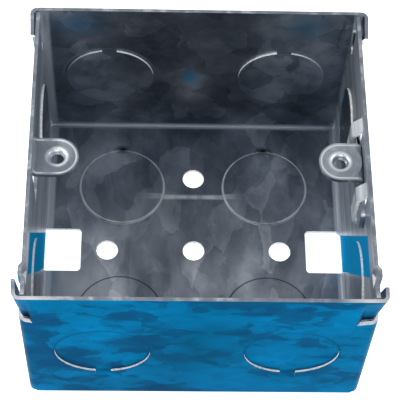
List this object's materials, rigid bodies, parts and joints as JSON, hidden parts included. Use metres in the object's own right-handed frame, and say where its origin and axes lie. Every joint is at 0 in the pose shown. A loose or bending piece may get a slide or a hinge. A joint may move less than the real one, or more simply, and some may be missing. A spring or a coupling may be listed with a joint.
{
  "type": "flush back box",
  "caption": "Deep square galvanised steel back box for a flush wiring accessory, with knock-outs, fixing holes and a fixed and an adjustable threaded lug.",
  "frame": {"origin": "middle of the base's underside", "axes": "+Z out of the open mouth, +X from the fixed lug towards the adjustable lug, Y along the adjustable lug's slide"},
  "size_m": [0.0757, 0.072, 0.047],
  "materials": {
    "galvanised_shell": "spangled zinc coat, semi-gloss",
    "galvanised_lug": "plain zinc coat, semi-gloss"
  },
  "bodies": {
    "box": {"box_body": "galvanised_shell"},
    "lug": {"adjustable_lug": "galvanised_lug"}
  },
  "joints": [
    {"name": "lug_slide", "type": "slide", "parent": "box", "child": "lug", "axis": [0, 1, 0], "range_m": [-0.0011, 0.0019]}
  ]
}
